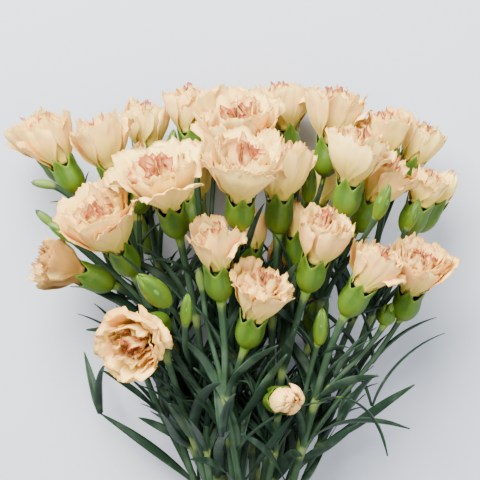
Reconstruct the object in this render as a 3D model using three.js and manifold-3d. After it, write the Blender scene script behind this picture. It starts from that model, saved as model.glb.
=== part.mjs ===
// A bunch of cut spray carnations, laid on its side on a table.
//
// Each spray is one grown green piece: a main stem, its side stalks, its leaves, the calyxes that
// hold the petals, and any buds that are still shut. The petals of each flower are a piece of their
// own, which pulls out of its calyx. A rubber band holds the stems together.
//
// Millimetres. +Z is up from the table, +Y runs from the cut ends to the flowers, and +X is to the
// right as seen from above. The bunch is laid out with the band at Y = 0, and the whole group is then
// moved so that the origin is under the middle of its box, on the table.
import * as THREE from "three";
import { mergeVertices } from "three/addons/utils/BufferGeometryUtils.js";
import Module from "manifold-3d";

// ---- Driving dimensions ----
const CUT_LENGTH = 128; // from the band down to the cut ends
const STEM_RADIUS = 1.7;
const STALK_RADIUS = 1.15; // side stalks, which are thinner than the main stem
const SWELL = 1.5; // how much thicker a stem is at a node, where leaves and stalks grow
const BARE_SWELL = 1.24; // the same at a node below the band, which has lost its leaves
const SWELL_HALF = 3.5; // half the length of that thick place
const STALK_LENGTH = 58; // from the node up to an opened flower's calyx
const BUD_STALK_LENGTH = 26; // a shut bud sits closer to the stem
const JOINT_STEP = 24; // distance between the joints that a limb bends at
const LEAF_WIDTH = 6.4;
const LEAF_THICK = 0.9;
const LEAF_START = 26; // degrees between a leaf and its stem where it leaves the node
const LEAF_TWIST = -Math.PI / 2; // how far a blade turns about its own length: this way, its faces bow out
const LOW_LEAF = { length: 64, height: 58 }; // the leaf pair above the band, at this height over it
const HIGH_LEAF = { length: 46, height: 122 };
const CALYX_LENGTH = 18; // from the stalk to the mouth that the petals come out of
const CALYX_RADIUS = 5.6;
const CLEARANCE = 0.5; // least distance between two pieces that don't grow together
const PETAL_GAP = 0.3; // between a calyx's mouth and the petals in it
const FINEST = 0.4; // edges shorter than this are drawn together where limbs join
const BAND_WIDTH = 5;
const BAND_THICK = 1.3;
const SPREAD_PER_MM = 0.033; // how fast the stems fan out above the band
const BAND_MIDDLE = new THREE.Vector3(5, 0, 11); // where the bunch is tied
const AXIS_RISE = 0.17; // the bunch's middle climbs this much for each mm, as its heads lie in layers
const END_SPREAD = 1.5; // how much wider the cut ends lie than the stems in the band

// How far open a flower is. height is the petals' length over their width, and outline is pairs of
// [share of half the width, share of the height], from the calyx's mouth to the top.
const KINDS = {
  open: { name: "open_petals", height: 0.6, outline: [[0.66, 0.3], [0.95, 0.62], [0.98, 0.82], [0.66, 1]] },
  half: { name: "half_open_petals", height: 0.84, outline: [[0.8, 0.26], [1, 0.58], [0.84, 0.88], [0.4, 1]] },
  tight: { name: "opening_petals", height: 1.3, outline: [[0.92, 0.22], [1, 0.5], [0.72, 0.8], [0.3, 1]] },
};
const CALYX_OUTLINE = [[0.3, 0], [0.86, 0.24], [1, 0.62], [0.92, 1]];
const BUD_OUTLINE = [[0.3, 0], [0.95, 0.3], [0.8, 0.7], [0.1, 1]];

// ---- The flowers, as they lie in the bunch ----
// A flower is placed by the middle of its petals, and aim is the way it faces.
const flower = (kind, x, y, z, width, aim) => ({
  kind,
  width,
  middle: new THREE.Vector3(x, y, z),
  aim: new THREE.Vector3(...aim).normalize(),
});
const open = (...facts) => flower("open", ...facts);
const half = (...facts) => flower("half", ...facts);
const tight = (...facts) => flower("tight", ...facts);
// A shut bud is placed by its middle too, and it is green all over.
const bud = (x, y, z, width, length, aim) => ({ ...flower("bud", x, y, z, width, aim), length });

// One row for each spray. Its first flower is on the main stem, and the others are on side stalks.
const SPRAYS = [
  [half(-91, 220, 52, 24, [-0.45, 0.88, 0.2]), half(-104, 224, 34, 23, [-0.6, 0.78, 0.1]),
    bud(-95, 199, 60, 6, 12, [-0.98, 0.12, 0.1])],
  [half(-89, 158, 48, 23, [-0.93, 0.3, 0.2]), bud(-86, 176, 60, 8, 15, [-0.8, 0.58, 0.1]),
    bud(-97, 183, 44, 6, 12, [-0.75, 0.65, 0.1])],
  [half(-69, 219, 56, 25, [-0.3, 0.92, 0.25]), tight(-49, 212, 48, 13, [0.05, 0.98, 0.15])],
  [half(-47, 231, 32, 23, [0, 1, 0.05]), bud(-34, 219, 44, 8, 14, [0.1, 0.98, 0.1]),
    half(-56, 192, 12, 25, [-0.35, 0.9, -0.2])],
  [half(-27, 237, 36, 22, [-0.1, 0.98, 0.1]), half(-12, 236, 18, 22, [0.1, 0.98, 0]),
    half(-22, 205, 12, 25, [-0.15, 0.95, -0.2])],
  [open(0, 222, 58, 37, [0, 0.84, 0.54])],
  [open(-36, 195, 84, 36, [-0.22, 0.8, 0.55])],
  [open(-59, 181, 78, 35, [-0.4, 0.74, 0.52])],
  [open(-3, 201, 92, 36, [0.05, 0.82, 0.56]), tight(5, 180, 58, 15, [0.05, 0.98, 0.15])],
  [half(18, 206, 66, 26, [0.05, 0.97, 0.2]), bud(25, 210, 36, 8, 15, [0.1, 0.98, 0])],
  [half(-11, 168, 88, 22, [-0.08, 0.88, 0.42]), bud(-19, 154, 72, 6, 11, [-0.2, 0.95, 0.2])],
  [open(-43, 126, 82, 36, [-0.3, -0.24, 0.92]), bud(-41, 146, 90, 15, 20, [-0.5, 0.55, 0.62]),
    bud(-25, 140, 82, 8, 14, [0.1, 0.95, 0.3])],
  [half(7, 147, 76, 25, [0.22, 0.84, 0.46])],
  [open(22, 239, 26, 30, [-0.1, 0.98, 0.05]), half(46, 233, 46, 27, [0.15, 0.95, 0.2]),
    bud(33, 200, 58, 10, 18, [0.05, 0.98, 0.15]), half(40, 202, 12, 25, [0.15, 0.95, -0.2])],
  [half(71, 225, 52, 21, [-0.05, 0.93, 0.34]), half(90, 221, 34, 21, [0.42, 0.88, 0.1])],
  [half(54, 211, 78, 27, [0.2, 0.92, 0.3]), half(69, 202, 56, 24, [0.42, 0.85, 0.28]),
    bud(65, 190, 86, 9, 15, [0.3, 0.88, 0.4])],
  [half(91, 198, 50, 17, [0.35, 0.88, 0.25]), tight(102, 200, 38, 13, [0.5, 0.84, 0.05]),
    bud(82, 184, 62, 8, 13, [0.3, 0.88, 0.32])],
  [half(36, 173, 84, 24, [0.22, 0.86, 0.44]), tight(29, 186, 54, 12, [0, 0.98, 0.15]),
    tight(19, 168, 34, 12, [0, 0.98, 0.1])],
  [half(62, 160, 78, 22, [0.45, 0.8, 0.36]), open(83, 157, 66, 29, [0.2, 0.82, 0.5]),
    bud(71, 136, 56, 8, 13, [0.3, 0.92, 0.2])],
  [tight(15, 104, 72, 15, [0.24, 0.1, 0.96])],
  [tight(38, 148, 48, 11, [0.1, 0.98, 0]), bud(38, 131, 66, 10, 16, [0.1, 0.95, 0.25])],
];

// Long leaves that arch out of the bunch, by spray number. side is the way they bend, and turn is how
// far their tips have bent round from the stem, in degrees.
const STRAY_LEAVES = [
  { spray: 18, height: 66, length: 60, side: [1, 0, 0.25], turn: 98 },
  { spray: 18, height: 88, length: 58, side: [0.8, 0, 0.6], turn: 165 },
  { spray: 1, height: 84, length: 36, side: [-1, 0, 0.1], turn: 80 },
  { spray: 2, height: 60, length: 34, side: [-1, 0, 0.3], turn: 50 },
];

// ---- Limbs: stems, stalks and leaves, as rows of joints that the bunch can push about ----
const UP_THE_BUNCH = new THREE.Vector3(0, 1, 0);

function limbAlong(curve, spray, radius, root = null, tip = null) {
  const steps = Math.max(3, Math.round(curve.getLength() / JOINT_STEP));
  const joints = curve.getSpacedPoints(steps);
  if (root) joints[0] = root;
  if (tip) joints[steps] = tip;
  const spans = joints.slice(1).map((joint, i) => joint.clone().sub(joints[i]));
  return { spray, radius, joints, spans, swellings: new Map() };
}

// The way a limb runs at one of its joints.
function wayAt(limb, index) {
  const last = limb.joints.length - 1;
  const from = limb.joints[Math.max(0, index - 1)];
  return limb.joints[Math.min(last, index + 1)].clone().sub(from).normalize();
}

// The joint of a main stem nearest to a height over the band.
function jointAtHeight(limb, height) {
  let best = 2;
  limb.joints.forEach((joint, i) => {
    const nearer = Math.abs(joint.y - height) < Math.abs(limb.joints[best].y - height);
    if (i >= 2 && i < limb.joints.length - 2 && nearer) best = i;
  });
  return best;
}

// A flower's head is stiff: base is where its stalk ends, mouth is the top of its calyx, and crown is
// the middle of its petals.
function headOf(facts, spray) {
  const petals = facts.kind === "bud" ? 0 : KINDS[facts.kind].height * facts.width;
  const calyx = facts.kind === "bud" ? facts.length : CALYX_LENGTH;
  const reach = facts.kind === "bud" ? calyx / 2 : calyx + petals / 2;
  const base = facts.middle.clone().addScaledVector(facts.aim, -reach);
  return {
    ...facts,
    spray,
    petals,
    calyx,
    target: base.clone(),
    base,
    mouth: base.clone().addScaledVector(facts.aim, calyx),
    crown: facts.middle.clone(),
    reach,
  };
}

// The main stem runs from its cut end through the band and fans out to its flower.
function mainStem(head, spray) {
  const spread = 1 + SPREAD_PER_MM * head.base.y;
  const axis = BAND_MIDDLE.clone().setY(0);
  const across = (head.base.x - axis.x) / spread;
  const above = (head.base.z - axis.z - AXIS_RISE * head.base.y) / spread;
  const inBand = new THREE.Vector3(axis.x + across, 0, axis.z + above);
  const cutEnd = new THREE.Vector3(axis.x + across * END_SPREAD, -CUT_LENGTH, axis.z - 3 + above * END_SPREAD);
  const rise = head.base.clone().sub(inBand);
  const path = new THREE.CurvePath();
  path.add(new THREE.LineCurve3(cutEnd, inBand));
  const lean = Math.min(0.3 * rise.length(), 45);
  const bend = head.base.clone().addScaledVector(head.aim, -lean);
  const straight = inBand.clone().addScaledVector(rise, 0.45);
  path.add(new THREE.CubicBezierCurve3(inBand, straight, bend, head.base));
  const below = Math.round(CUT_LENGTH / JOINT_STEP / 2.2);
  const aboveBand = Math.max(5, Math.round(rise.length() / JOINT_STEP));
  const joints = [
    ...path.curves[0].getSpacedPoints(below).slice(0, -1),
    ...path.curves[1].getSpacedPoints(aboveBand),
  ];
  joints[joints.length - 1] = head.base;
  const spans = joints.slice(1).map((joint, i) => joint.clone().sub(joints[i]));
  const swellings = new Map([[1 + (spray % 2), BARE_SWELL]]);
  return { spray, radius: STEM_RADIUS, joints, spans, band: below, swellings };
}

function sideStalk(stem, head, spray) {
  const length = head.kind === "bud" ? BUD_STALK_LENGTH : STALK_LENGTH;
  const node = jointAtHeight(stem, head.base.y - length);
  stem.swellings.set(node, SWELL);
  const root = stem.joints[node];
  const rise = root.distanceTo(head.base);
  const start = wayAt(stem, node).add(head.base.clone().sub(root).normalize()).normalize();
  const curve = new THREE.CubicBezierCurve3(
    root,
    root.clone().addScaledVector(start, 0.35 * rise),
    head.base.clone().addScaledVector(head.aim, -0.3 * rise),
    head.base,
  );
  return limbAlong(curve, spray, STALK_RADIUS, root, head.base);
}

// A leaf leaves its node close to the stem, then bends away to its side.
function leaf(stem, node, spray, side, length, turn) {
  stem.swellings.set(node, SWELL);
  const along = wayAt(stem, node);
  const away = side.clone().addScaledVector(along, -side.dot(along)).normalize();
  const steps = Math.max(4, Math.round(length / 13));
  const joints = [stem.joints[node]];
  for (let i = 0; i < steps; i++) {
    const share = (i + 0.5) / steps;
    const angle = THREE.MathUtils.degToRad(LEAF_START + (turn - LEAF_START) * share);
    const step = along.clone().multiplyScalar(Math.cos(angle)).addScaledVector(away, Math.sin(angle));
    joints.push(joints[i].clone().addScaledVector(step, length / steps));
  }
  const spans = joints.slice(1).map((joint, i) => joint.clone().sub(joints[i]));
  return { spray, radius: LEAF_WIDTH / 2, joints, spans, away, isLeaf: true, swellings: new Map() };
}

function leafPair(stem, spray, facts, quarterTurn) {
  const node = jointAtHeight(stem, facts.height + ((spray * 7) % 5) * 6 - 12);
  const angle = spray * 2.4 + quarterTurn;
  const side = new THREE.Vector3(Math.cos(angle), 0, Math.sin(angle));
  return [1, -1].map((sign) =>
    leaf(stem, node, spray, side.clone().multiplyScalar(sign), facts.length, 38 + ((spray * 5) % 4) * 12),
  );
}

const heads = [];
const stems = [];
const limbs = [];
SPRAYS.forEach((row, spray) => {
  const own = row.map((facts) => headOf(facts, spray));
  const stem = mainStem(own[0], spray);
  own[0].limb = stem;
  stems.push(stem);
  limbs.push(stem);
  own.slice(1).forEach((head) => {
    head.limb = sideStalk(stem, head, spray);
    limbs.push(head.limb);
  });
  limbs.push(...leafPair(stem, spray, LOW_LEAF, 0), ...leafPair(stem, spray, HIGH_LEAF, Math.PI / 2));
  heads.push(...own);
});
STRAY_LEAVES.forEach(({ spray, height, length, side, turn }) => {
  const stem = stems[spray];
  limbs.push(leaf(stem, jointAtHeight(stem, height), spray, new THREE.Vector3(...side), length, turn));
});

// ---- Settling: limbs and heads push each other aside until nothing overlaps ----
// A link is a straight piece with round ends between two joints.
function linksOf(limb) {
  const swollen = (i) => [i, i + 1].some((joint) => limb.swellings.get(joint) === SWELL);
  return limb.spans.map((_, i) => ({
    a: limb.joints[i],
    b: limb.joints[i + 1],
    radius: limb.radius * (swollen(i) ? 1 + (SWELL - 1) * 0.8 : 1),
    spray: limb.spray,
    limb,
    green: true,
  }));
}

function headLinks(head) {
  const radius = head.kind === "bud" ? head.width / 2 : CALYX_RADIUS;
  const inset = Math.min(radius, head.calyx / 2);
  const calyxLow = head.base.clone().addScaledVector(head.aim, inset);
  const calyxHigh = head.mouth.clone().addScaledVector(head.aim, -inset);
  head.points = [calyxLow, calyxHigh];
  const links = [{ a: calyxLow, b: calyxHigh, radius, spray: head.spray, head, green: true }];
  if (head.petals) {
    const crownRadius = (head.width / 2) * 1.04;
    const slack = Math.max(0, head.petals / 2 - crownRadius);
    const low = head.crown.clone().addScaledVector(head.aim, -slack);
    const high = head.crown.clone().addScaledVector(head.aim, slack);
    head.points.push(low, high);
    links.push({ a: low, b: high, radius: crownRadius, spray: head.spray, head, green: false });
  }
  head.offsets = head.points.map((point) => point.clone().sub(head.base));
  return links;
}

const links = [...limbs.flatMap(linksOf), ...heads.flatMap(headLinks)];

// The closest points of two links, as shares s and t along them.
function closest(p, q) {
  const d1 = new THREE.Vector3().subVectors(p.b, p.a);
  const d2 = new THREE.Vector3().subVectors(q.b, q.a);
  const r = new THREE.Vector3().subVectors(p.a, q.a);
  const a = Math.max(d1.lengthSq(), 1e-9);
  const e = Math.max(d2.lengthSq(), 1e-9);
  const b = d1.dot(d2);
  const c = d1.dot(r);
  const f = d2.dot(r);
  const clamp = (x) => Math.min(1, Math.max(0, x));
  const flat = a * e - b * b;
  let s = flat > 1e-9 ? clamp((b * f - c * e) / flat) : 0;
  const t = clamp((b * s + f) / e);
  s = clamp((b * t - c) / a);
  const between = r.addScaledVector(d1, s).addScaledVector(d2, -t);
  return { s, t, between, distance: between.length() };
}

// Pairs that grow together, or that can never meet, are left out.
const growTogether = (p, q) => {
  if (p.limb && p.limb === q.limb) return true;
  if (p.head && p.head === q.head) return true;
  const owner = (link) => (link.head ? link.head.limb : link.limb);
  if (p.spray !== q.spray) return false;
  if (p.green && q.green) return closest(p, q).distance < p.radius + q.radius + 2;
  return owner(p) === owner(q);
};
const isPair = [];
for (let i = 0; i < links.length; i++) {
  for (let j = i + 1; j < links.length; j++) {
    if (!growTogether(links[i], links[j])) isPair.push([links[i], links[j]]);
  }
}

function pushApart(p, q) {
  const reach = p.radius + q.radius + CLEARANCE;
  const far = reach + JOINT_STEP * 2;
  if (Math.abs(p.a.y - q.a.y) > far || Math.abs(p.a.x - q.a.x) > far || Math.abs(p.a.z - q.a.z) > far) return 0;
  const { s, t, between, distance } = closest(p, q);
  if (distance >= reach) return 0;
  const lack = reach - distance;
  const way = distance > 1e-6 ? between.divideScalar(distance) : new THREE.Vector3(0, 0, 1);
  const shift = 0.5 * lack;
  p.a.addScaledVector(way, shift * (p.head ? 1 : 1 - s));
  p.b.addScaledVector(way, shift * (p.head ? 1 : s));
  q.a.addScaledVector(way, -shift * (q.head ? 1 : 1 - t));
  q.b.addScaledVector(way, -shift * (q.head ? 1 : t));
  return lack;
}

// A limb springs back towards the shape it grew in.
function springBack(limb, stiffness) {
  limb.spans.forEach((span, i) => {
    const [from, to] = [limb.joints[i], limb.joints[i + 1]];
    const error = to.clone().sub(from).sub(span).multiplyScalar(0.5 * stiffness);
    if (i > 0 || !limb.isLeaf) from.add(error);
    to.sub(error);
  });
}

// A head keeps its shape and the way it faces, and is drawn to the place it was given.
function stiffen(head, pull) {
  const shift = new THREE.Vector3();
  head.points.forEach((point, i) => shift.add(point).sub(head.offsets[i]).sub(head.base));
  shift.divideScalar(head.points.length);
  head.base.add(shift);
  const home = head.target.clone().sub(head.base);
  head.base.add(new THREE.Vector3(home.x * pull, home.y * pull, home.z * pull * 0.3));
  head.points.forEach((point, i) => point.copy(head.base).add(head.offsets[i]));
}

const keepAbove = (point, radius) => {
  point.z = Math.max(point.z, radius);
};
function standOnTable(squeeze) {
  links.forEach((link) => {
    keepAbove(link.a, link.radius);
    keepAbove(link.b, link.radius);
  });
  stems.forEach((stem) => {
    const inBand = stem.joints[stem.band];
    keepAbove(inBand, STEM_RADIUS + CLEARANCE + BAND_THICK);
    inBand.y = 0;
    stem.joints[0].y = -CUT_LENGTH;
    inBand.x += (BAND_MIDDLE.x - inBand.x) * squeeze;
    inBand.z += (BAND_MIDDLE.z - inBand.z) * squeeze; // the band draws the stems in
  });
}

const ROUNDS = 300;
const BAND_PULL = 0.08; // share of the way to the middle that the band draws each stem, in a round
for (let round = 0; round < ROUNDS; round++) {
  const left = Math.max(0, 1 - round / (0.8 * ROUNDS)); // the last fifth only parts what still touches
  limbs.forEach((limb) => springBack(limb, 0.5 * left));
  heads.forEach((head) => stiffen(head, 0.15 * left * left));
  standOnTable(round < 0.93 * ROUNDS ? BAND_PULL : 0);
  isPair.forEach(([p, q]) => pushApart(p, q));
}
heads.forEach((head) => {
  stiffen(head, 0);
  head.mouth.copy(head.base).addScaledVector(head.aim, head.calyx);
});

// ---- Solids ----
const wasm = await Module();
wasm.setup();

// A closed body through a row of rings, which all have as many corners.
function loft(rings) {
  const corners = rings[0].length;
  const middle = (ring) => ring.reduce((sum, p) => sum.add(p), new THREE.Vector3()).divideScalar(corners);
  const points = [...rings.flat(), middle(rings[0]), middle(rings.at(-1))];
  const index = [];
  for (let k = 0; k < corners; k++) {
    const next = (k + 1) % corners;
    for (let i = 0; i < rings.length - 1; i++) {
      const [low, high] = [i * corners, (i + 1) * corners];
      index.push(low + k, low + next, high + next, low + k, high + next, high + k);
    }
    const top = (rings.length - 1) * corners;
    index.push(points.length - 2, next, k, points.length - 1, top + k, top + next);
  }
  const geometry = new THREE.BufferGeometry().setFromPoints(points);
  geometry.setIndex(index);
  return geometry;
}

function solidOf(geometry) {
  const merged = mergeVertices(geometry, 1e-4);
  return new wasm.Manifold(
    new wasm.Mesh({
      numProp: 3,
      vertProperties: merged.attributes.position.array,
      triVerts: new Uint32Array(merged.index.array),
    }),
  );
}

const largest = (bodies) => bodies.reduce((most, body) => (body.volume() > most.volume() ? body : most));

// The shortest edge of a surface that can be drawn together to a point, if it is under FINEST.
function shortestEdge(points, triangles) {
  const around = points.map(() => new Set());
  triangles.forEach(([a, b, c]) => {
    around[a].add(b).add(c);
    around[b].add(a).add(c);
    around[c].add(a).add(b);
  });
  let best = null;
  let least = FINEST;
  around.forEach((ring, a) => {
    ring.forEach((b) => {
      const length = points[a].distanceTo(points[b]);
      if (b < a || length >= least) return;
      const shared = [...ring].filter((other) => around[b].has(other));
      if (shared.length !== 2) return; // the surface would pinch there
      least = length;
      best = [a, b];
    });
  });
  return best;
}

// Limbs joined into one body, without the crumbs and tiny edges that a join leaves where faces graze.
function joined(solids) {
  const mesh = largest(wasm.Manifold.union(solids).simplify(FINEST / 10).decompose()).getMesh();
  const at = (i) => new THREE.Vector3().fromArray(mesh.vertProperties, i * mesh.numProp);
  const points = Array.from({ length: mesh.numVert }, (_, i) => at(i));
  let triangles = Array.from({ length: mesh.numTri }, (_, i) => [...mesh.triVerts.slice(3 * i, 3 * i + 3)]);
  for (let edge = shortestEdge(points, triangles); edge; edge = shortestEdge(points, triangles)) {
    const [kept, gone] = edge;
    points[kept].lerp(points[gone], 0.5);
    triangles = triangles
      .map((corners) => corners.map((corner) => (corner === gone ? kept : corner)))
      .filter((corners) => new Set(corners).size === 3);
  }
  const geometry = new THREE.BufferGeometry().setFromPoints(triangles.flat().map((i) => points[i]));
  geometry.computeVertexNormals();
  return geometry;
}

// Rings of a round limb: [place, way, radius] for each, with the corners carried along without twist.
function roundRings(stations, sides) {
  let across = new THREE.Vector3(1, 0, 0);
  return stations.map(({ place, way, radius }) => {
    across = across.addScaledVector(way, -across.dot(way)).normalize();
    const third = new THREE.Vector3().crossVectors(way, across);
    return Array.from({ length: sides }, (_, k) => {
      const angle = (2 * Math.PI * k) / sides;
      return place
        .clone()
        .addScaledVector(across, radius * Math.cos(angle))
        .addScaledVector(third, radius * Math.sin(angle));
    });
  });
}

// A stem or stalk, thicker at its nodes.
function stalkSolid(limb, sides) {
  const curve = new THREE.CatmullRomCurve3(limb.joints, false, "centripetal");
  const length = curve.getLength();
  const last = limb.joints.length - 1;
  const stations = [];
  const add = (share, radius) => {
    const u = Math.min(1, Math.max(0, share));
    stations.push({ place: curve.getPoint(u), way: curve.getTangent(u), radius });
  };
  for (let i = 0; i <= last; i++) {
    const half = SWELL_HALF / length;
    if (limb.swellings.has(i)) {
      add(i / last - half, limb.radius);
      add(i / last, limb.radius * limb.swellings.get(i));
      add(i / last + half, limb.radius);
    } else {
      add(i / last, limb.radius);
    }
  }
  return solidOf(loft(roundRings(stations, sides)));
}

// A leaf blade: widest low down, drawn out to a fine tip, and folded a little along its middle.
function leafSolid(limb) {
  const curve = new THREE.CatmullRomCurve3(limb.joints, false, "centripetal");
  const steps = limb.joints.length - 1;
  const rings = [];
  for (let i = 0; i <= steps; i++) {
    const share = i / steps;
    const place = curve.getPointAt(share);
    const way = curve.getTangentAt(share);
    const across = new THREE.Vector3().crossVectors(way, limb.away).normalize();
    across.applyAxisAngle(way, LEAF_TWIST * share);
    const face = new THREE.Vector3().crossVectors(across, way);
    const wide = (LEAF_WIDTH / 2) * Math.min(0.4 + 2.4 * share, 1) * (1 - 0.88 * share ** 3);
    const thick = LEAF_THICK * (1 - 0.5 * share);
    rings.push([
      place.clone().addScaledVector(across, wide).addScaledVector(face, -thick * 0.4),
      place.clone().addScaledVector(across, -wide).addScaledVector(face, -thick * 0.4),
      place.clone().addScaledVector(face, thick * 0.6),
    ]);
  }
  return solidOf(loft(rings));
}

function calyxSolid(head) {
  const outline = head.kind === "bud" ? BUD_OUTLINE : CALYX_OUTLINE;
  const radius = head.kind === "bud" ? head.width / 2 : CALYX_RADIUS;
  const stations = outline.map(([share, height]) => ({
    place: head.base.clone().addScaledVector(head.aim, height * head.calyx - (height ? 0 : 0.8)),
    way: head.aim,
    radius: Math.max(share * radius, 0.4),
  }));
  return solidOf(loft(roundRings(stations, head.kind === "bud" ? 5 : 7)));
}

// A flower's petals, closed up into one body with their true outer shape.
function petalGeometry(head) {
  const { outline } = KINDS[head.kind];
  const neck = CALYX_RADIUS * 0.86;
  const profile = [
    new THREE.Vector2(0, 0),
    new THREE.Vector2(neck, 0),
    ...outline.map(([share, height]) => {
      const radius = Math.max((share * head.width) / 2, neck * (height < 0.4 ? 1 : 0.4));
      return new THREE.Vector2(radius, height * head.petals);
    }),
    new THREE.Vector2(0, head.petals * 0.94),
  ];
  return new THREE.LatheGeometry(profile, 7);
}

// The outline of the smallest loop round the stems in the band, at a distance from their middles.
function loopRound(places, distance) {
  const corners = places.flatMap((place) =>
    Array.from({ length: 12 }, (_, k) => {
      const angle = (2 * Math.PI * k) / 12;
      return new THREE.Vector2(place.x + distance * Math.cos(angle), place.z + distance * Math.sin(angle));
    }),
  );
  corners.sort((p, q) => p.x - q.x || p.y - q.y);
  const turnsLeft = (o, p, q) => (p.x - o.x) * (q.y - o.y) - (p.y - o.y) * (q.x - o.x) > 1e-9;
  const chain = (row) => {
    const kept = [];
    row.forEach((corner) => {
      while (kept.length > 1 && !turnsLeft(kept.at(-2), kept.at(-1), corner)) kept.pop();
      kept.push(corner);
    });
    return kept.slice(0, -1);
  };
  return [...chain(corners), ...chain([...corners].reverse())];
}

function bandGeometry() {
  const places = stems.flatMap(({ joints, band }) => {
    const at = joints[band];
    const share = (next) => (BAND_WIDTH / 2 + 0.5) / at.distanceTo(next);
    return [joints[band - 1], joints[band + 1]].map((next) => at.clone().lerp(next, share(next)));
  });
  const inner = STEM_RADIUS + CLEARANCE;
  const shape = new THREE.Shape(loopRound(places, inner + BAND_THICK));
  shape.holes.push(new THREE.Path(loopRound(places, inner)));
  return new THREE.ExtrudeGeometry(shape, { depth: BAND_WIDTH, bevelEnabled: false });
}

// ---- The scene graph ----
const green = new THREE.MeshStandardMaterial({ color: 0x4d6b4a, roughness: 0.6, metalness: 0 });
const cream = new THREE.MeshStandardMaterial({ color: 0xecd3a8, roughness: 0.7, metalness: 0 });
const rubber = new THREE.MeshStandardMaterial({ color: 0xc8a46a, roughness: 0.75, metalness: 0 });

const bunch = new THREE.Group();
const twoDigits = (number) => String(number).padStart(2, "0");

function addMesh(name, geometry, material) {
  const mesh = new THREE.Mesh(geometry, material);
  mesh.name = name;
  bunch.add(mesh);
  return mesh;
}

stems.forEach((stem, spray) => {
  const grown = limbs.filter((limb) => limb.spray === spray);
  const solids = [
    ...grown.filter((limb) => !limb.isLeaf).map((limb) => stalkSolid(limb, 5)),
    ...grown.filter((limb) => limb.isLeaf).map(leafSolid),
    ...heads.filter((head) => head.spray === spray).map(calyxSolid),
  ];
  addMesh(`spray_${twoDigits(spray + 1)}`, joined(solids), green);
});

const counted = {};
heads.filter((head) => head.petals).forEach((head) => {
  const { name } = KINDS[head.kind];
  counted[name] = (counted[name] ?? 0) + 1;
  const mesh = addMesh(`${name}_${twoDigits(counted[name])}`, petalGeometry(head), cream);
  mesh.position.copy(head.mouth).addScaledVector(head.aim, PETAL_GAP);
  mesh.quaternion.setFromUnitVectors(UP_THE_BUNCH, head.aim);
});

const band = addMesh("rubber_band", bandGeometry(), rubber);
band.rotation.x = Math.PI / 2;
band.position.y = BAND_WIDTH / 2;

const box = new THREE.Box3().setFromObject(bunch, true);
const centre = box.getCenter(new THREE.Vector3());
bunch.position.set(-centre.x, -centre.y, -box.min.z);

export default bunch;
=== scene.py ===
# %% [markdown]
# # A banded bunch of cut spray carnations
#
# The bunch lies on a pale table, and the camera looks straight down on it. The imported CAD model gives
# every place: one closed green body for each spray (its stem, stalks, leaves, calyxes and shut buds)
# and one plain closed body for each flower's petals. This lesson keeps those places, and gives each
# body the surface that the living thing has: thin ruffled petals, toothed calyxes, waxy stems.

# %% Load the frame
import math
import random

import bmesh
import bpy
import numpy as np
from mathutils import Matrix, Vector
from mathutils.bvhtree import BVHTree
from mathutils.kdtree import KDTree


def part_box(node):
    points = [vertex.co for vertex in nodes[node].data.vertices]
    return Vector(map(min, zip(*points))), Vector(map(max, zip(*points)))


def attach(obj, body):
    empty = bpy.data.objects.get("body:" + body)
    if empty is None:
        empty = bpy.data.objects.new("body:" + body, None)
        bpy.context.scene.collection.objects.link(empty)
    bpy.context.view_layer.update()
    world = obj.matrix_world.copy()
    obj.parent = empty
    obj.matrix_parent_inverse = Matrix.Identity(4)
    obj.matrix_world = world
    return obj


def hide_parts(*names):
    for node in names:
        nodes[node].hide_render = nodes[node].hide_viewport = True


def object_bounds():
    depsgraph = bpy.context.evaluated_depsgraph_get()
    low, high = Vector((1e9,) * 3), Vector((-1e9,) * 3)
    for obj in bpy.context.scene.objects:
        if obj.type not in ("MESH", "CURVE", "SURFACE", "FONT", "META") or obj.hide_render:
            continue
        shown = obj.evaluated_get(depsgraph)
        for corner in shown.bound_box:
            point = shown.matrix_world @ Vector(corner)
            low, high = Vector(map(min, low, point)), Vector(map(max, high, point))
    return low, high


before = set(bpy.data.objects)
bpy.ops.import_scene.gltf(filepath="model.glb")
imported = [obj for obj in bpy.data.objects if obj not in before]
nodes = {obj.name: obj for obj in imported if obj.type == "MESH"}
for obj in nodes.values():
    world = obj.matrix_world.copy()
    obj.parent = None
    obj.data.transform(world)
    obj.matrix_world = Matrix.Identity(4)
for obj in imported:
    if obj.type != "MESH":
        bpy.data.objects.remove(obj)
cad_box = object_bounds()
MM = 0.001  # lengths are in metres
print("nodes:", len(nodes), "box:", cad_box)

# %% [markdown]
# ## The camera
#
# A bunch with nothing to hold it lies down, so what would be a front view is a view from above. The
# camera takes in the heads and the upper stems, and leaves the tied end out. A long lens from more
# than half a metre away keeps the near flowers from swelling.

# %% Place the camera
VIEW_WIDTH = 230.4 * MM  # how much of the bunch the view spans, at the height of the flowers
FLOWER_LEVEL = 60 * MM
FLOWERS_FROM_BAND = 172 * MM  # from the band to the middle of the view
MIDDLE_X = 3.5 * MM
LENS = 85.0
SENSOR = 36.0
band_low, band_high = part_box("rubber_band")
view_middle = Vector((MIDDLE_X, (band_low.y + band_high.y) / 2 + FLOWERS_FROM_BAND, 0))
eye_height = FLOWER_LEVEL + VIEW_WIDTH * LENS / SENSOR

camera_data = bpy.data.cameras.new("camera")
camera_data.lens = LENS
camera_data.sensor_width = SENSOR
camera = bpy.data.objects.new("camera", camera_data)
camera.location = view_middle + Vector((0, 0, eye_height))
bpy.context.scene.collection.objects.link(camera)
bpy.context.scene.camera = camera
print("camera at", [round(x, 3) for x in camera.location])

# %% [markdown]
# ## Arithmetic on sockets
#
# Both geometry nodes and shader nodes do sums with Math nodes, which are tedious to wire by hand. The
# class below wraps a socket, so that an expression such as 1 - v * v adds the nodes itself.


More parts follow.
